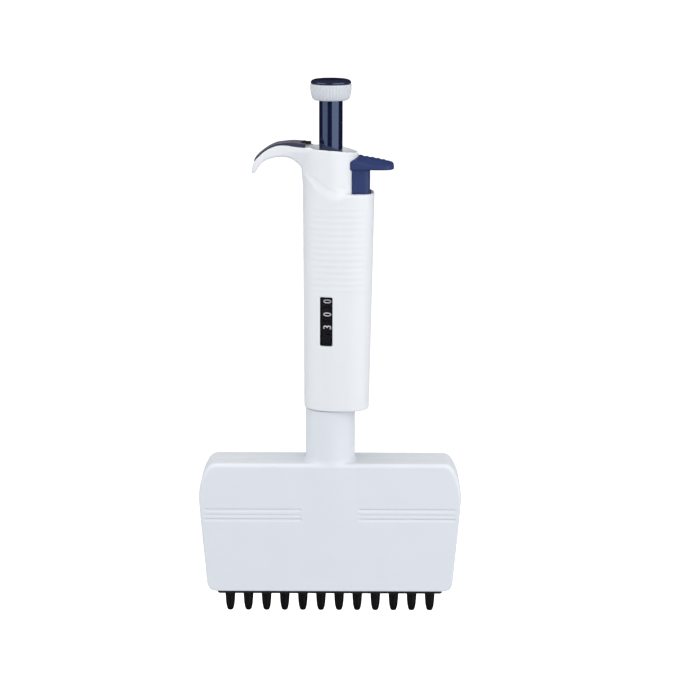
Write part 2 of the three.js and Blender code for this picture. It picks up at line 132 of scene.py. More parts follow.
def outline(points, step=0.15, margin=4.0):
    """The signed distance to a closed outline, negative inside, read from a fine grid."""
    pts = np.array(points, float)
    low = pts.min(0) - margin
    count = np.ceil((np.ptp(pts, axis=0) + 2 * margin) / step).astype(int) + 2
    u = low[0] + step * np.arange(count[0])[:, None]
    v = low[1] + step * np.arange(count[1])[None, :]
    nearest = np.full(count, 1e9)
    inside = np.zeros(count, bool)
    for (x0, y0), (x1, y1) in zip(pts, np.roll(pts, -1, 0)):
        ex, ey = x1 - x0, y1 - y0
        wx, wy = u - x0, v - y0
        t = np.clip((wx * ex + wy * ey) / (ex * ex + ey * ey + 1e-12), 0, 1)
        nearest = np.minimum(nearest, (wx - ex * t) ** 2 + (wy - ey * t) ** 2)
        if ey:
            inside ^= ((y0 > v) != (y1 > v)) & (wx < ex * (v - y0) / ey)
    grid = np.where(inside, -1, 1) * np.sqrt(nearest)

    def distance(u, v):
        a, b = np.broadcast_arrays(np.clip((u - low[0]) / step, 0, count[0] - 1.001),
                                   np.clip((v - low[1]) / step, 0, count[1] - 1.001))
        i, j = a.astype(int), b.astype(int)
        f, g = a - i, b - j
        near = (1 - g) * grid[i, j] + g * grid[i, j + 1]
        far = (1 - g) * grid[i + 1, j] + g * grid[i + 1, j + 1]
        return (1 - f) * near + f * far

    return distance


# ---------- meshes
def surface_nets(values, low, step):
    """Vertices and quads of the zero surface of a grid of signed distances."""
    shape = np.array(values.shape) - 1
    solid = values < 0
    corners = [(i, j, k) for i in (0, 1) for j in (0, 1) for k in (0, 1)]

    def at(grid, i, j, k):
        return grid[i:i + shape[0], j:j + shape[1], k:k + shape[2]]

    # One vertex in each cell that the surface crosses, at the mean of the crossed edges.
    count = sum(at(solid, *c).astype(np.int8) for c in corners)
    cells = np.argwhere((count > 0) & (count < 8))
    number = np.full(shape, -1, np.int64)
    number[tuple(cells.T)] = np.arange(len(cells))
    total = np.zeros((len(cells), 3))
    hits = np.zeros(len(cells))
    for a in corners:
        for axis in range(3):
            if a[axis]:
                continue
            b = tuple(1 if n == axis else a[n] for n in range(3))
            va = values[tuple((cells + a).T)]
            vb = values[tuple((cells + b).T)]
            cross = (va < 0) != (vb < 0)
            t = np.where(cross, va / np.where(cross, va - vb, 1), 0)
            point = np.array(a, float) + t[:, None] * (np.array(b) - np.array(a))
            total += np.where(cross[:, None], point, 0)
            hits += cross
    verts = low + step * (cells + total / hits[:, None])

    # One quad round each edge of the grid that the surface crosses, facing outwards.
    quads = []
    for axis in range(3):
        u, v = (axis + 1) % 3, (axis + 2) % 3
        here = [slice(None)] * 3
        there = [slice(None)] * 3
        here[axis], there[axis] = slice(0, -1), slice(1, None)
        a, b = solid[tuple(here)], solid[tuple(there)]
        edge = np.argwhere(a != b)
        edge = edge[(edge[:, u] > 0) & (edge[:, v] > 0)
                    & (edge[:, u] < shape[u]) & (edge[:, v] < shape[v])]
        out = a[tuple(edge.T)]
        ring = []
        for du, dv in ((-1, -1), (0, -1), (0, 0), (-1, 0)):
            cell = edge.copy()
            cell[:, u] += du
            cell[:, v] += dv
            ring.append(number[tuple(cell.T)])
        ring = np.stack(ring, 1)
        quads.append(np.where(out[:, None], ring, ring[:, ::-1]))
    return verts, np.concatenate(quads)


def mesh_object(name, verts, faces):
    """A smooth-shaded object in metres from millimetre vertices."""
    mesh = bpy.data.meshes.new(name)
    mesh.vertices.add(len(verts))
    mesh.vertices.foreach_set("co", (np.asarray(verts, float) * MM).ravel())
    sizes = np.array([len(face) for face in faces])
    mesh.loops.add(int(sizes.sum()))
    mesh.loops.foreach_set("vertex_index", np.concatenate([np.asarray(face) for face in faces]))
    mesh.polygons.add(len(sizes))
    mesh.polygons.foreach_set("loop_start", np.cumsum(sizes) - sizes)
    mesh.update(calc_edges=True)
    mesh.validate()
    mesh.shade_smooth()
    piece = bpy.data.objects.new(name, mesh)
    bpy.context.scene.collection.objects.link(piece)
    return piece


def sculpt(name, field, low, high, step):
    """A smooth mesh of the zero surface of field(x, y, z) inside a box."""
    low = np.array(low, float)
    step = np.ones(3) * step
    count = np.ceil((np.array(high) - low) / step).astype(int) + 1
    axes = [low[n] + step[n] * np.arange(count[n]) for n in range(3)]
    grid = field(axes[0][:, None, None], axes[1][None, :, None], axes[2][None, None, :])
    verts, quads = surface_nets(np.broadcast_to(grid, tuple(count)), low, step)
    # Each vertex then moves along the slope onto the surface itself.
    nudge = 0.01
    for _ in range(3):
        x, y, z = verts.T
        here = field(x, y, z)
        beside = [field(x + nudge, y, z), field(x, y + nudge, z), field(x, y, z + nudge)]
        slope = (np.stack(beside, 1) - here[:, None]) / nudge
        size = np.maximum((slope * slope).sum(1), 0.25)
        move = -(here / size)[:, None] * slope
        length = np.linalg.norm(move, axis=1, keepdims=True)
        verts = verts + move * np.minimum(1, 0.3 * step.min() / np.maximum(length, 1e-9))
    return mesh_object(name, verts, quads)


def turn(name, profile, segments=96, x=0, flutes=0):
    """A turned piece about Z at x. The profile, anticlockwise in the radius-height plane, runs
    from the axis to the axis or closes on itself. A third value cuts flutes to that depth."""
    closed = profile[0][0] > 1e-6
    angles = np.arange(segments) * 2 * math.pi / segments
    scallop = 0.5 - 0.5 * np.cos(flutes * angles)
    verts, rings = [], []
    for r, z, *depth in profile:
        if r < 1e-6:
            rings.append([len(verts)])
            verts.append((x, 0, z))
        else:
            rings.append(list(range(len(verts), len(verts) + segments)))
            reach = r - scallop * (depth[0] if depth else 0)
            verts += [(x + d * math.cos(a), d * math.sin(a), z) for d, a in zip(reach, angles)]
    faces = []
    for a, b in list(zip(rings, rings[1:])) + ([(rings[-1], rings[0])] if closed else []):
        for i in range(segments):
            j = (i + 1) % segments
            if len(a) == 1:
                faces.append((a[0], b[j], b[i]))
            elif len(b) == 1:
                faces.append((a[i], a[j], b[0]))
            else:
                faces.append((a[i], a[j], b[j], b[i]))
    return mesh_object(name, verts, faces)


def fillet(points, radius, steps=5):
    """A turned profile with every corner off the axis rounded."""
    out = []
    pts = [np.array(p, float) for p in points]
    for n, p in enumerate(pts):
        if p[0] < 1e-6:
            out.append(tuple(p))
            continue
        before, after = pts[n - 1], pts[(n + 1) % len(pts)]
        back, ahead = np.linalg.norm(before - p), np.linalg.norm(after - p)
        reach = min(radius, 0.45 * back, 0.45 * ahead)
        a, b = (before - p) / back * reach, (after - p) / ahead * reach
        for t in np.linspace(0, 1, steps):
            out.append(tuple((1 - t) ** 2 * (p + a) + 2 * t * (1 - t) * p + t * t * (p + b)))
    return out


def coil(name, radius, wire, low, high, turns, x=0):
    """A compression spring with one closed turn at each end."""
    per_turn, sides = 36, 10
    steps = int(turns * per_turn)
    t = np.linspace(0, 1, steps + 1)
    closed = np.minimum(ramp(t * turns, 0.9, 1.4), ramp((1 - t) * turns, 0.9, 1.4))
    ends = np.cumsum(np.where(closed < 0.5, 1.0, 0.0)) / (steps / turns) * 2.1 * wire
    room = high - low - 2 * wire - ends[-1]
    climb = np.cumsum(closed)
    height = low + wire + ends + climb / climb[-1] * room
    angle = 2 * math.pi * turns * t
    centre = np.stack([x + radius * np.cos(angle), radius * np.sin(angle), height], 1)
    outward = np.stack([np.cos(angle), np.sin(angle), 0 * angle], 1)
    up = np.array([0.0, 0.0, 1.0])
    ring = [wire * (math.cos(a) * outward + math.sin(a) * up)
            for a in np.arange(sides) * 2 * math.pi / sides]
    verts = np.stack([centre + r for r in ring], 1).reshape(-1, 3)
    faces = [tuple(range(sides)), tuple(range(steps * sides, (steps + 1) * sides))[::-1]]
    for n in range(steps):
        for i in range(sides):
            j = (i + 1) % sides
            a, b = n * sides, (n + 1) * sides
            faces.append((a + i, b + i, b + j, a + j))
    return mesh_object(name, verts, faces)


# ---------- materials
def plastic(name, color, second, rough=(0.35, 0.45), grain=0.05, grain_size=0.25, bump=0.06,
            metal=0.0, blotch=14.0, specular=0.5, gloss_tint=(1, 1, 1), ior=1.5,
            sheen=0.0, stretch=(1, 1, 1)):
    """Moulded plastic or metal: soft colour drift, uneven gloss and a fine surface grain."""
    material = bpy.data.materials.new(name)
    material.use_nodes = True
    tree = material.node_tree
    shader = tree.nodes["Principled BSDF"]
    shader.inputs["Metallic"].default_value = metal
    shader.inputs["Specular IOR Level"].default_value = specular
    shader.inputs["Specular Tint"].default_value = (*gloss_tint, 1)
    shader.inputs["Sheen Weight"].default_value = sheen
    shader.inputs["IOR"].default_value = ior
    place = tree.nodes.new("ShaderNodeTexCoord")
    scale = tree.nodes.new("ShaderNodeMapping")
    scale.inputs["Scale"].default_value = stretch
    tree.links.new(place.outputs["Object"], scale.inputs["Vector"])

    def noise(size_mm, detail):
        node = tree.nodes.new("ShaderNodeTexNoise")
        node.inputs["Scale"].default_value = 1 / (size_mm * MM)
        node.inputs["Detail"].default_value = detail
        tree.links.new(scale.outputs["Vector"], node.inputs["Vector"])
        return node.outputs["Fac"]

    # The colour drifts slowly between two close shades.
    drift = noise(blotch, 3)
    fine = noise(grain_size, 2)
    mix = tree.nodes.new("ShaderNodeMix")
    mix.data_type = "RGBA"
    mix.inputs["A"].default_value = (*color, 1)
    mix.inputs["B"].default_value = (*second, 1)
    tree.links.new(drift, mix.inputs["Factor"])
    tree.links.new(mix.outputs["Result"], shader.inputs["Base Color"])

    # The gloss follows the drift and the grain.
    both = tree.nodes.new("ShaderNodeMath")
    both.operation = "MULTIPLY_ADD"
    both.inputs[1].default_value = grain
    tree.links.new(fine, both.inputs[0])
    tree.links.new(drift, both.inputs[2])
    gloss = tree.nodes.new("ShaderNodeMapRange")
    gloss.inputs["From Min"].default_value = 0.3
    gloss.inputs["From Max"].default_value = 0.7 + grain
    gloss.inputs["To Min"].default_value = rough[0]
    gloss.inputs["To Max"].default_value = rough[1]
    tree.links.new(both.outputs[0], gloss.inputs["Value"])
    tree.links.new(gloss.outputs["Result"], shader.inputs["Roughness"])

    # The grain stands a little proud of the surface.
    height = tree.nodes.new("ShaderNodeBump")
    height.inputs["Strength"].default_value = bump
    height.inputs["Distance"].default_value = 0.0001
    tree.links.new(fine, height.inputs["Height"])
    tree.links.new(height.outputs["Normal"], shader.inputs["Normal"])
    return material


def clear(name):
    """Clear polished window plastic with faint surface haze."""
    material = plastic(name, (0.02, 0.02, 0.025), (0.03, 0.03, 0.04), rough=(0.05, 0.1), bump=0.01)
    material.node_tree.nodes["Principled BSDF"].inputs["Alpha"].default_value = 0.06
    return material


MATERIALS = {
    "handle_white": plastic("handle_white", (0.74, 0.765, 0.787), (0.71, 0.74, 0.767),
                            (0.34, 0.42)),
    "head_white": plastic("head_white", (0.685, 0.72, 0.76), (0.655, 0.69, 0.735), (0.4, 0.48)),
    "inner_white": plastic("inner_white", (0.66, 0.69, 0.71), (0.6, 0.63, 0.65), (0.45, 0.55)),
    "navy": plastic("navy", (0.006, 0.009, 0.032), (0.007, 0.011, 0.038), (0.1, 0.15), bump=0.02,
                    specular=1.0, gloss_tint=(0.5, 0.66, 1), ior=1.7),
    # A lighter copy of the navy for the cap. Its extra lightness is painted light, standing in for
    # the light that falls on the upturned dome.
    "lit_cap_navy": plastic("lit_cap_navy", (0.016, 0.018, 0.042), (0.019, 0.021, 0.048), (0.12, 0.17),
                        bump=0.02, specular=1.0, gloss_tint=(0.5, 0.66, 1), ior=1.7),
    "ejector_navy": plastic("ejector_navy", (0.021, 0.036, 0.125), (0.026, 0.043, 0.145),
                            (0.38, 0.48), grain_size=0.3, bump=0.12, specular=0.3),
    "strip_navy": plastic("strip_navy", (0.028, 0.029, 0.066), (0.034, 0.035, 0.080), (0.36, 0.46),
                          grain_size=0.3, bump=0.12, sheen=0.18, gloss_tint=(0.75, 0.8, 1)),
    "ring_white": plastic("ring_white", (0.60, 0.625, 0.665), (0.57, 0.595, 0.635), (0.4, 0.5)),
    "black": plastic("black", (0.013, 0.013, 0.015), (0.018, 0.017, 0.020), (0.4, 0.52), bump=0.1,
                     specular=0.35),
    "digit_black": plastic("digit_black", (0.004, 0.003, 0.006), (0.008, 0.006, 0.010), (0.4, 0.5),
                           specular=0.35),
    "numeral_white": plastic("numeral_white", (0.93, 0.93, 0.97), (0.88, 0.88, 0.93), (0.5, 0.6)),
    "cone_black": plastic("cone_black", (0.004, 0.004, 0.005), (0.007, 0.006, 0.008), (0.34, 0.46),
                          grain_size=0.18, bump=0.14, specular=0.28),
    "piston_steel": plastic("piston_steel", (0.55, 0.56, 0.58), (0.62, 0.63, 0.65), (0.16, 0.26),
                            metal=1.0, bump=0.05, stretch=(1, 1, 0.08)),
    "spring_steel": plastic("spring_steel", (0.45, 0.46, 0.48), (0.52, 0.53, 0.55), (0.22, 0.34),
                            metal=1.0, bump=0.06),
    "lens_clear": clear("lens_clear"),
}


def dress(piece, slot, body, *replaced, paint=None):
    """Gives a piece the material of its slot, or its paint where one is given, puts it in its
    body, and hides the CAD nodes it stands for.
    """
    piece.data.materials.clear()
    piece.data.materials.append(MATERIALS[paint or slot])
    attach(piece, body)
    if replaced:
        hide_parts(*replaced)
    return piece


# A CAD node that keeps its own shape shows the material of its slot.
slot_of = {part["node"]: part["material_slot"] for part in frame["record"]["subparts"]}
for node, shape in nodes.items():
    shape.data.materials.clear()
    shape.data.materials.append(MATERIALS[slot_of[node]])


# ---------- handle
WIDEST_X = 4


def egg(x, y, z, inset=0.0):
    """Distance to the egg-shaped grip outline at each height."""
    t = (z - BOTTOM) / (SHOULDER - BOTTOM)
    left, right, half = 16.75 + 0.5 * t - inset, 14.8 + 2.1 * t - inset, 13.6 + 0.4 * t - inset
    reach = np.where(x > WIDEST_X, right, left)
    power = np.where(x > WIDEST_X, 3.1, 2.25)
    u = np.abs(x - WIDEST_X) / reach + 1e-6
    v = np.abs(y) / half + 1e-6
    norm = u ** power + v ** power
    f = norm ** (1 / power) - 1
    slope = np.sqrt((u ** (power - 1) / reach) ** 2 + (v ** (power - 1) / half) ** 2)
    slope = slope / norm ** ((power - 1) / power)
    return f / np.maximum(slope, 1e-3)


# Heights of the grip's shoulder and of the tower's rim along X, and the hook's half-width.
shoulder_line = line_of([(-40, 219), (-16, 218.9), (-13, 218.5), (-8, 217), (0.7, 211.6),
                         (9, 209.6), (13, 209.5), (40, 209.5)], 160)
rim_line = line_of([(-15, 231.2), (-9.6, 230.8), (0, 230.4), (7, 229.6), (11, 228.9), (15, 228)])
hook_half_width = line_of([(-37.7, 1), (-37.1, 2.6), (-34.8, 4.3), (-30, 5.3), (-20, 6.4),
                           (-13, 8.3), (-6, 9.2)])
# The hook from the side: its underside, the seam under its top strip, the strip and the tip.
UNDERSIDE = spline([(-36.1, 218.45), (-35.5, 219.35), (-34.7, 220.6), (-33.6, 222.2), (-31.8, 224),
                    (-29.1, 225.4), (-25.6, 226.3), (-22.2, 226.4), (-19.2, 225.8), (-17.1, 224.6),
                    (-15, 222.8), (-13.6, 220.3), (-12.7, 216), (-11.8, 209)], 90)
SEAM = spline([(-36.6, 223.8), (-35.05, 225.7), (-33.35, 227.4), (-31.9, 228.7), (-29.7, 230.2),
               (-27.6, 231.2), (-25.5, 231.9), (-23, 232.2), (-20.2, 232.1), (-17, 231.65),
               (-12.8, 231.4), (-8, 231.2)], 70)
STRIP_TOP = spline([(-36.3, 224.75), (-35.2, 226.3), (-33.4, 228.05), (-31.3, 229.65),
                    (-29.1, 231.05), (-27, 232.05), (-24.8, 232.75), (-20, 233.25), (-17, 233.3),
                    (-13.9, 233), (-8.4, 232.8)], 60)
HOOK_TIP = [(-37, 222.4), (-37.3, 221.2), (-37.55, 219.9), (-37.7, 218.9), (-37.6, 218.45)]
SEAM_GAP = 0.2
hook_side = outline([*UNDERSIDE, (-8, 212), (-7, 229), *(SEAM[::-1] - (0, SEAM_GAP)), *HOOK_TIP])
strip_side = outline([*SEAM, *STRIP_TOP[::-1]])


def handle_field(x, y, z):
    """The handle shell: grip, tower and hook, less the rooms inside."""
    # Faint ribs across the front of the grip.
    ribs = RIB_DEPTH * np.cos((z - 162.4) * 2 * math.pi / RIB_PITCH)
    ribs = ribs * ramp(z, 161.5, 163.5) * ramp(z, 205, 203)
    ribs = ribs * ramp(x, -11, -7) * ramp(x, 17.5, 15.5) * (y < 0)
    # The grip's top edge is crisp at the right and near the hook, and wide and soft in between.
    eased = ramp(x, 11.5, -1.5)
    brow = 0.9 + 5 * eased * eased * (3 - 2 * eased) * ramp(x, -12, -7)
    grip = round_edge(egg(x, y, z) + ribs, z - shoulder_line(x), brow)
    grip = round_edge(grip, BOTTOM - z, 0.5)
    rim = rim_line(x)
    around = np.hypot(x, y)
    # Below the shoulder the tower tapers away inside the grip, so that it leaves no ridge.
    sunk = ramp(shoulder_line(x) - z, -1, 6)
    tower = round_edge(around - TOWER_R + 1.6 * sunk, z - rim, 0.4 + 0.5 * ramp(x, -4, 12))
    tower = np.maximum(tower, TOWER_FOOT - z)
    # The hook's edges are rounder away from the seam, and its root narrows downwards.
    below_seam = np.interp(x, SEAM[:, 0], SEAM[:, 1]) - z
    edge = 0.25 + 0.9 * ramp(below_seam, 0.5, 3) * ramp(x, -37, -31)
    narrow = 5 * ramp(z, 229, 211) * ramp(x, -26, -17)
    hook = round_edge(hook_side(x, z), np.abs(y) - hook_half_width(x) + narrow, edge)
    # How widely the tower blends into the grip: less at the right and far left, and hardly at all
    # below the shoulder.
    soften = 0.7 + 2.8 * ramp(x, 12, 3) - 1.4 * ramp(x, -5, -12)
    soften = soften * (1 - 0.9 * ramp(shoulder_line(x) - z, 6, 26))
    body = smooth_min(smooth_min(tower, grip, soften), hook, 1.6)
    # The mouth flares at its rim and narrows like a funnel below it.
    mouth = around - MOUTH_R - 0.35 * np.exp(-np.abs(z - rim) * 1.2)
    mouth = mouth + 2.1 * ramp(rim - z, 0.3, 2.6)
    by_rod = np.hypot(x - ROD_X, y)
    key_stem = np.maximum(rounded_box(x, y, (0, -9.4), (19, 9.4), 3.5), TOWER_R - around)
    left, right, low, high, corner = WINDOW
    rooms = [
        np.maximum(around - BORE_R, z - MOUTH_FLOOR),  # long bore
        np.maximum(mouth, MOUTH_FLOOR - z),  # mouth of the tower
        # room for the ejector's arm, the way of its rod, and room for its spring
        np.maximum(slab(x, 0, 17.8), np.maximum(np.abs(y) - 3.1, slab(z, 119, 134.5))),
        np.maximum(by_rod - 2, slab(z, 130, 200)),
        np.maximum(by_rod - 3.3, slab(z, 186, 210)),
        np.maximum(key_stem, 198.9 - z),  # socket for the stem of the ejector key
        np.maximum(egg(x, y, BOTTOM + 0 * z, 1.05), z - 109),  # seat of the bottom cap
        np.maximum(rounded_box(x, z, (left, low), (right, high), corner), y + 9),  # window
    ]
    for room in rooms:
        body = smooth_max(body, -room, 0.25)
    return body


handle = sculpt("handle_body", handle_field, (-38, -14.6, 103.6), (21.6, 14.6, 232.6), 0.45)
dress(handle, "handle_white", "handle", "handle_shell")


def strip_field(x, y, z):
    body = round_edge(strip_side(x, z), np.abs(y) - hook_half_width(x) + 0.1, 0.3)
    body = smooth_max(body, x + 11.9, 0.3)
    return smooth_max(body, MOUTH_R + 0.15 - np.hypot(x, y), 0.3)


# A thin black tab at the strip's inner end. Its black is painted shade, for the shade in the gap
# between the strip's end and the mouth.
def tongue_field(x, y, z):
    plan = rounded_box(x, y, (-14, -4.5), (-9.3, 4.5), 1.1)
    return round_edge(plan, slab(z, 232.35, 233.1), 0.25)


strip = sculpt("hook_inlay", strip_field, (-38, -9.5, 223), (-7, 9.5, 234.2), 0.28)
dress(strip, "strip_navy", "handle", "hook_strip")
shade_tongue = sculpt("hook_inlay_shade_tongue", tongue_field, (-14.5, -5, 232), (-8.9, 5, 233.5), 0.15)
dress(shade_tongue, "black", "handle")


def lens_field(x, y, z):
    left, right, low, high, corner = WINDOW
    opening = rounded_box(x, z, (left + 0.3, low + 0.3), (right - 0.3, high - 0.3), corner - 0.3)
    return round_edge(round_edge(egg(x, y, z, 0.15), y + 11.8, 0.15), opening, 0.25)


lens = sculpt("counter_lens", lens_field, (-5.4, -14.4, 136.7), (1.6, -11.4, 161.8), 0.2)
dress(lens, "lens_clear", "handle", "window_lens")


# ---------- turned pieces
def tube(inner, outer, low, high):
    return [(inner, low), (outer, low), (outer, high), (inner, high)]


def bar(radius, low, high):
    return [(0, low), (radius, low), (radius, high), (0, high)]


# piece, node, body, profile, edge radius, x
TURNED = [
    ("top_bearing", "top_bush", "handle", tube(SLEEVE_R + 0.3, BORE_R - 0.3, 214, 218), 0.5, 0),
    ("stop_housing", "stop_tube", "handle", [
        (2.8, 98), (6.9, 98), (6.9, 131.4), (11, 131.4), (11, 133.9), (5.9, 133.9), (5.9, 101),
        (2.8, 101)], 0.3, 0),
    ("counter_base", "counter_spacer", "handle", tube(5, DIGIT_RING_R, 136.7, 141.7), 0.25, 0),
    ("counter_spindle", "drive_spindle", "ones", [
        (2.8, 131), (4.7, 131), (4.7, 163.6), (6.6, 163.6), (6.6, 165.4), (4.7, 165.4), (4.7, 222),
        (2.8, 222)], 0.2, 0),
    ("plunger_shaft", "plunger_rod", "plunger", [
        (0, 62.9), (2.5, 62.9), (2.5, 126), (5.5, 126), (5.5, 129), (2.5, 129), (2.5, 250.1),
        (0, 250.1)], 0.4, 0),
    ("knob_sleeve", "plunger_sleeve", "knob", tube(4.9, SLEEVE_R, 212, 258), 0.3, 0),
    ("ejector_shaft", "ejector_rod", "ejector", bar(1.6, 131.3, 206.2), 0.4, ROD_X),
    ("ejector_tube", "ejector_sleeve", "stripper", tube(7.2, 8.4, 73.8, 127.7), 0.3, 0),
    ("swivel_clip", "retaining_ring", "head", tube(10.4, 11, 109.3, 110.9), 0.2, 0),
    ("guide_pin_left", "guide_rod_left", "head", bar(1.5, 17.2, 69.5), 0.4, -GUIDE_X),
    ("guide_pin_right", "guide_rod_right", "head", bar(1.5, 17.2, 69.5), 0.4, GUIDE_X),
]
for name, node, body, profile, radius, x in TURNED:
    piece = turn(name, fillet(profile, radius), 72, x)
    dress(piece, slot_of[node], body, node)

# A low dome with a rounded shoulder.
CAP = [(0, 250.4), (4.6, 250.4), (4.6, 260.85), *spline([
    (9.3, 260.85), (9.55, 261), (9.6, 261.3), (9.46, 261.72), (9.15, 262.15), (8.65, 262.5),
    (7.9, 262.76), (6.9, 262.89), (5, 262.96), (2.5, 263.01)], 48), (0, 263.05)]
# The cap wears the lighter navy copy, which paints the light on its dome.
dress(turn("knob_cap", CAP, 160), "navy", "knob", "button_cap", paint="lit_cap_navy")

# The ring's outside, going up, and the depth of its flutes by height.
FLUTES = 40
GRIP_LINE = spline([(7.9, 253.05), (8.35, 253.3), (8.85, 253.9), (9.2, 254.8), (9.5, 256),
                    (9.72, 257.6), (9.83, 259.2), (9.83, 260), (9.74, 260.4), (9.55, 260.55)], 40)
flute_depth = line_of([(253.1, 0.05), (253.8, 0.14), (255, 0.2), (259.2, 0.2), (260.1, 0.1),
                       (260.6, 0.02)])
RING = [(r, z, float(flute_depth(z))) for r, z in GRIP_LINE]
RING += [(SLEEVE_R + 0.3, 260.55), (SLEEVE_R + 0.3, 253.05)]
dress(turn("volume_ring", RING, FLUTES * 12, flutes=FLUTES), "ring_white", "knob", "adjust_ring")


# ---------- volume counter
GLYPH_HEIGHT, GLYPH_WIDTH, PRINT, BANDS = 4.0, 1.9, 0.05, 12
GLYPH_X = -1.5
STEP_ANGLE = 2 * math.pi / 10


def glyph(character):
    """A thin solid numeral, centred, cut into narrow bands so that it can follow a ring."""
    curve = bpy.data.curves.new("numeral", "FONT")
    curve.body = character
    curve.extrude = 0.5
    curve.offset = 0.012
    curve.resolution_u = 5
    text = bpy.data.objects.new("numeral", curve)
    bpy.context.scene.collection.objects.link(text)
    bpy.context.view_layer.update()
    evaluated = text.evaluated_get(bpy.context.evaluated_depsgraph_get())
    mesh = bpy.data.meshes.new_from_object(evaluated)
    bpy.data.objects.remove(text)
    bpy.data.curves.remove(curve)
    shape = bmesh.new()
    shape.from_mesh(mesh)
    bpy.data.meshes.remove(mesh)
    bmesh.ops.remove_doubles(shape, verts=shape.verts, dist=1e-5)
    low = Vector([min(v.co[n] for v in shape.verts) for n in range(3)])
    high = Vector([max(v.co[n] for v in shape.verts) for n in range(3)])
    middle, size = (low + high) / 2, high - low
    narrow = 0.6 if character == "1" else 1.0
    for v in shape.verts:
        v.co = Vector(((v.co.x - middle.x) / size.x * GLYPH_WIDTH * narrow,
                       (v.co.y - middle.y) / size.y * GLYPH_HEIGHT,
                       (v.co.z - middle.z) / size.z * PRINT))
    for n in range(1, BANDS):
        level = (n / BANDS - 0.5) * GLYPH_HEIGHT
        bmesh.ops.bisect_plane(shape, geom=[*shape.verts, *shape.edges, *shape.faces],
                               plane_co=(0, level, 0), plane_no=(0, 1, 0))
    bmesh.ops.triangulate(shape, faces=shape.faces)
    verts = np.array([v.co for v in shape.verts])
    faces = [[v.index for v in face.verts] for face in shape.faces]
    shape.free()
    return verts, faces


# Each numeral lies on its side, reading upwards, with its top towards -X.
GLYPHS = [glyph(str(digit)) for digit in range(10)]
for place, (height, shown, offset) in DIGIT_RINGS.items():
    profile = tube(5, DIGIT_RING_R, height - DIGIT_RING_HALF, height + DIGIT_RING_HALF)
    profile = fillet(profile, 0.25)
    dress(turn(f"{place}_ring", profile, 120), "digit_black", place, f"digit_ring_{place}")
    verts, faces = [], []
    for digit, (points, triangles) in enumerate(GLYPHS):
        middle = math.asin(GLYPH_X / DIGIT_RING_R) + (shown - digit) % 10 * STEP_ANGLE
        angle = middle - points[:, 1] / DIGIT_RING_R
        reach = DIGIT_RING_R + points[:, 2]
        start = sum(len(v) for v in verts)
        verts.append(np.stack([reach * np.sin(angle), -reach * np.cos(angle),
                               height + offset + points[:, 0]], 1))
        faces += [[start + corner for corner in triangle] for triangle in triangles]
    numerals = mesh_object(f"{place}_numerals", np.concatenate(verts), faces)
    dress(numerals, "ring_white", place, paint="numeral_white")


# ---------- tip ejector
# Height of the key's top along X.
crest = line_of([(7, 227.2), (9, 227.2), (13.2, 227.05), (16, 226.5), (20, 225.85), (25, 224.8),
                 (28, 224), (30.5, 223)])


def ejector_field(x, y, z):
    """The ejector key: a ribbed head that falls away to both sides, on a stem round the tower."""
    ribs = KEY_RIB_DEPTH * np.cos((x - 14.6) * 2 * math.pi / KEY_RIB_PITCH)
    ribs = ribs * ramp(x, 12.8, 14) * ramp(x, 28, 26.5) * ramp(np.abs(y), 6.5, 4)
    fall = np.interp(x, [10, 19, 26, 29], [0.022, 0.028, 0.020, 0.012])
    top = z - crest(x) - ribs + fall * y * y
    plan = rounded_box(x, y, (-6, -10), (30, 10), 5.5)
    head = round_edge(top, plan, 0.8)
    head = round_edge(head, 220.8 - z, 0.6)
    stem = np.maximum(rounded_box(x, y, (-6, -9.1), (18.7, 9.1), 2.6), slab(z, 206.5, 222))
    body = smooth_min(head, stem, 0.6)
    body = smooth_max(body, TOWER_R + 0.15 - np.hypot(x, y), 0.2)
    return smooth_max(body, 8.6 - x, 0.3)


ejector = sculpt("ejector_key", ejector_field, (8, -10.4, 206), (30.5, 10.4, 228), 0.28)
dress(ejector, "ejector_navy", "ejector", "ejector_button")


# ---------- twelve-channel head
# Right half of the head seen from the front, outside and inside, going up.
HEAD_SIDE = [(56, 13.45), (58.6, 14.3), (60, 16.6), (60.4, 19), (61.35, 30), (62.7, 45),
             (63.75, 58), (63.85, 62), (63.4, 66.5), (62.3, 70.5), (60.7, 74), (59.1, 76.3),
             (57.4, 77.6), (55.2, 78)]
INNER_SIDE = [(54.8, 12), (54.8, 15.6), (56.2, 16), (58.4, 19.2), (59.5, 30), (60.8, 45),
              (61.9, 58), (61.9, 63), (61.4, 66.8), (60.4, 70.4), (59, 73.4), (57.6, 75.2),
              (55.8, 76.2)]
head_side = outline([(-6, 13.45), *spline(HEAD_SIDE, 70), (-6, HEAD_TOP)], 0.2)
inner_side = outline([(-6, 10), (54.8, 10), *INNER_SIDE, (-6, 76.2)], 0.2)
# height and depth
GROOVES = [(55.1, 0.42), (52.4, 0.2), (50.2, 0.42)]


def head_field(x, y, z):
    """The hollow head with its neck, before it is split into a front and a rear cover."""
    side, face = np.abs(x), np.abs(y)
    top_edge = np.where(y < 0, 1.0, 0.3)
    radius = 0.5 + 0.5 * ramp(z, 15, 22) + top_edge * ramp(z, 58, 68)
    swell = 0.6 * ramp(side, 12.5, 3) * ramp(z, 20, 70)
    front = face - HEAD_HALF_DEPTH - swell
    for height, depth in GROOVES:
        # Steep above and sloping below, so that each groove shades dark over light.
        wide = np.where(z > height, 0.3, 0.8)
        cut = depth * np.exp(-((z - height) / wide) ** 2)
        front = front + cut * ramp(side, 13.6, 14.6) * ramp(side, 61.6, 60.6)
    body = round_edge(head_side(side, z), front, radius)
    around = np.hypot(x, y)
    neck = round_edge(around - NECK_R + 2.5 * ramp(z, 78.5, 72), z - NECK_TOP, 0.35)
    neck = np.maximum(neck, 60 - z)
    body = smooth_min(body, neck, 2.0)
    hollow = np.maximum(inner_side(side, z), face - HEAD_HALF_DEPTH + HEAD_WALL)
    bore = np.maximum(around - NECK_BORE_R, 74.2 - z)
    return smooth_max(smooth_max(body, -hollow, 0.3), -bore, 0.3)


def front_field(x, y, z):
    return round_edge(head_field(x, y, z), y + 0.15, 0.2)


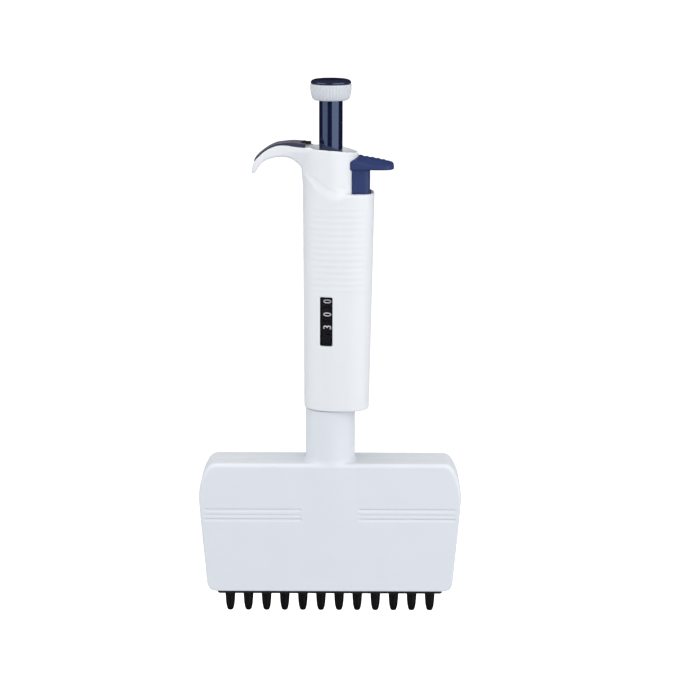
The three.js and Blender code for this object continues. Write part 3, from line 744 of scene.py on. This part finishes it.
def rear_field(x, y, z):
    """The rear half of the head, with a boss and a hole for each screw."""
    side = np.abs(x) - SCREW_X
    boss = np.maximum(np.hypot(side, z - SCREW_Z - 0.6) - 3.4, slab(y, 8.3, 10.6))
    from_screw = np.hypot(side, z - SCREW_Z)
    body = smooth_min(head_field(x, y, z), boss, 0.4)
    body = smooth_max(body, -np.maximum(from_screw - 2.5, 10.4 - y), 0.25)
    body = smooth_max(body, -np.maximum(from_screw - 1.5, 6 - y), 0.15)
    return round_edge(body, 0.15 - y, 0.2)


HEAD_STEP = (0.55, 0.42, 0.38)
cover = sculpt("front_cover", front_field, (-65, -13.6, 12.8), (65, 0.5, 105), HEAD_STEP)
dress(cover, "head_white", "head", "head_cover_front")
cover = sculpt("rear_cover", rear_field, (-65, -0.5, 12.8), (65, 13.6, 105), HEAD_STEP)
dress(cover, "head_white", "head", "head_cover_rear")


def screw_field(x, y, z):
    """A cross-head screw along Y."""
    around = np.hypot(x, z - SCREW_Z)
    head = round_edge(around - 2.2, np.maximum(y - 11.9 + 0.05 * around ** 2, 10.7 - y), 0.2)
    across = np.maximum(np.abs(x), np.abs(z - SCREW_Z)) - 1.5
    cross = np.maximum(np.minimum(np.abs(x), np.abs(z - SCREW_Z)) - 0.3, across)
    head = smooth_max(head, -np.maximum(cross, 11.1 - y), 0.08)
    shank = np.maximum(around - 1.2 - 0.12 * np.cos(2 * math.pi * y / 0.8), slab(y, 4, 11))
    return smooth_min(head, shank, 0.15)


for number, place in ((1, -SCREW_X), (2, SCREW_X)):
    screw = sculpt(f"case_screw_{number}", lambda x, y, z: screw_field(x - place, y, z),
                   (place - 2.5, 3.6, SCREW_Z - 2.5), (place + 2.5, 12.2, SCREW_Z + 2.5), 0.13)
    dress(screw, "spring_steel", "head", f"cover_screw_{number}")


# ---------- nozzles, comb and pistons
# The outside of a nozzle, going up, then its bore.
CONE = [(0.9, 0), (1.0, 0), (1.25, 0.15), (1.52, 0.55), (1.7, 1.1), (1.87, 1.8), (2.06, 2.8),
        (2.2, 4), (2.34, 6), (2.47, 8.5), (2.8, 14), (2.8, 19.9), (3.4, 19.9), (3.4, 41.5),
        (2.85, 41.5), (2.85, 20.4), (0.9, 19.6)]
PISTON = fillet(bar(2.75, 36.6, 57.5), 0.4)
for number, x in enumerate(NOZZLES, 1):
    nozzle = turn(f"nozzle_{number:02d}", CONE, 56, x)
    dress(nozzle, "cone_black", "head", f"tip_cone_{number:02d}")
    plunger = turn(f"piston_rod_{number:02d}", PISTON, 40, x)
    dress(plunger, "piston_steel", "pistons", f"piston_{number:02d}")


def comb_field(x, y, z):
    """A plate with a short collar and a hole for each nozzle."""
    plate = rounded_box(x, y, (-COMB_HALF_LENGTH, -COMB_HALF_DEPTH),
                        (COMB_HALF_LENGTH, COMB_HALF_DEPTH), 1.5)
    plate = round_edge(plate, slab(z, COMB_BOTTOM, COMB_TOP), 0.35)
    nearest = np.clip(np.round(x / PITCH - 0.5), -CHANNELS / 2, CHANNELS / 2 - 1) + 0.5
    around = np.hypot(x - nearest * PITCH, y)
    collar_r = np.interp(z, [COLLAR_LOW, 10, 11.7], [2.95, 3.1, 3.7])
    collar = round_edge(around - collar_r, slab(z, COLLAR_LOW, 13), 0.12)
    body = smooth_min(plate, collar, 1.2)
    hole = around - np.interp(z, [8.5, 13.8], [2.64, 3.05])
    return smooth_max(body, -hole, 0.1)


comb = sculpt("stripper_comb", comb_field, (-56, -10, 8.4), (56, 10, 14), (0.33, 0.33, 0.25))
dress(comb, "black", "stripper", "ejector_comb")

# ---------- springs
# name, node, body, joint that shortens it, coil radius, wire radius, bottom, top, turns, x, and
# the share of its height that is left at the joint's limit
SPRINGS = [
    ("key_spring", "ejector_spring", "handle", "ejector_press",
     2.45, 0.35, 186.3, 206.2, 9, ROD_X, 0.648),
    ("blowout_coil", "blowout_spring", "handle", "plunger_press",
     4.6, 0.55, 101.3, 113.4, 5, 0, 0.735),
    ("return_coil_left", "return_spring_left", "head", "piston_stroke",
     2.1, 0.3, 19.9, 57.5, 14, -GUIDE_X, 0.58),
    ("return_coil_right", "return_spring_right", "head", "piston_stroke",
     2.1, 0.3, 19.9, 57.5, 14, GUIDE_X, 0.58),
]
for name, node, body, joint, radius, wire, low, high, turns, x, keep in SPRINGS:
    spring = dress(coil(name, radius, wire, low, high, turns, x), "spring_steel", body, node)
    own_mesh(spring)

# ---------- camera, floor and light
CAMERA_PLACE = (0.00865, -1.0, 0.35)  # metres
CAMERA_DOWN, CAMERA_ROLL = 12.29, -0.213  # degrees
FOCAL_RATIO = 2113 / 700  # focal length over picture width

scene = bpy.context.scene
camera_data = bpy.data.cameras.new("camera")
camera_data.sensor_width = 36
camera_data.lens = FOCAL_RATIO * camera_data.sensor_width
camera_data.clip_start = 0.05
camera = bpy.data.objects.new("camera", camera_data)
scene.collection.objects.link(camera)
camera.location = CAMERA_PLACE
camera.rotation_euler = (math.radians(90 - CAMERA_DOWN), math.radians(CAMERA_ROLL), 0)
scene.camera = camera

scene.view_settings.view_transform = "Standard"
scene.view_settings.look = "None"

LIT_POINT = Vector((0, 0, 0.13))


def softbox(name, azimuth, elevation, size, radiance, mirrored=True, distance=1.1):
    """A rectangular soft light that faces the object; azimuth 0 is straight in front (-Y).

    A light that is not mirrored only fills: glossy surfaces do not show it."""
    data = bpy.data.lights.new(name, "AREA")
    data.shape = "RECTANGLE"
    data.size, data.size_y = size
    data.energy = radiance * math.pi * size[0] * size[1]
    lamp = bpy.data.objects.new(name, data)
    scene.collection.objects.link(lamp)
    turn_z, lift = math.radians(azimuth), math.radians(elevation)
    towards = Vector((-math.sin(turn_z) * math.cos(lift), math.cos(turn_z) * math.cos(lift),
                      -math.sin(lift)))
    lamp.location = LIT_POINT - distance * towards
    lamp.rotation_euler = towards.to_track_quat("-Z", "Y").to_euler()
    lamp.visible_camera = False
    lamp.visible_glossy = mirrored


# name, azimuth, elevation, size in metres, radiance
softbox("softbox_left", -60, 12, (1.17, 1.5), 0.9)
softbox("softbox_right", 46, 12, (1.55, 1.5), 1.35)
softbox("softbox_behind", 180, -16, (1.6, 0.34), 0.6, distance=0.9)
softbox("fill_high", 0, 45, (0.9, 0.9), 0.65, mirrored=False)
softbox("fill_top", -160, 82, (1.2, 1.2), 1.45, mirrored=False)
softbox("fill_left", -102, 0, (1.0, 1.0), 0.8, mirrored=False)
softbox("fill_right", 102, 0, (1.0, 1.0), 0.45, mirrored=False)

# Soft light from all round, cooler from below and warmer from above.
world = bpy.data.worlds.new("studio")
scene.world = world
world.use_nodes = True
sky = world.node_tree
background = sky.nodes["Background"]
background.inputs["Strength"].default_value = 0.54
direction = sky.nodes.new("ShaderNodeTexCoord")
split = sky.nodes.new("ShaderNodeSeparateXYZ")
sky.links.new(direction.outputs["Generated"], split.inputs["Vector"])
height = sky.nodes.new("ShaderNodeMapRange")
height.inputs["From Min"].default_value = -1
sky.links.new(split.outputs["Z"], height.inputs["Value"])
tone = sky.nodes.new("ShaderNodeMix")
tone.data_type = "RGBA"
tone.inputs["A"].default_value = (0.93, 0.96, 1.08, 1)
tone.inputs["B"].default_value = (1.04, 1.01, 0.97, 1)
sky.links.new(height.outputs["Result"], tone.inputs["Factor"])
sky.links.new(tone.outputs["Result"], background.inputs["Color"])
world.cycles_visibility.glossy = False

# A flat pale floor that sweeps up far away, like a seamless paper background.
floor = turn("floor", [(0, -300), (6500, -300), (8000, 0), (9200, 900), (9900, 2300),
                       (10200, 5000)], 128)
floor_paint = plastic("floor_paint", (0.9, 0.9, 0.9), (0.87, 0.87, 0.87), (0.7, 0.8), blotch=900)
floor_shader = floor_paint.node_tree.nodes["Principled BSDF"]
floor_shader.inputs["Emission Color"].default_value = (1, 1, 1, 1)
floor_shader.inputs["Emission Strength"].default_value = 0.75
floor.data.materials.append(floor_paint)
floor.visible_glossy = False
floor.visible_diffuse = False
floor.visible_shadow = False
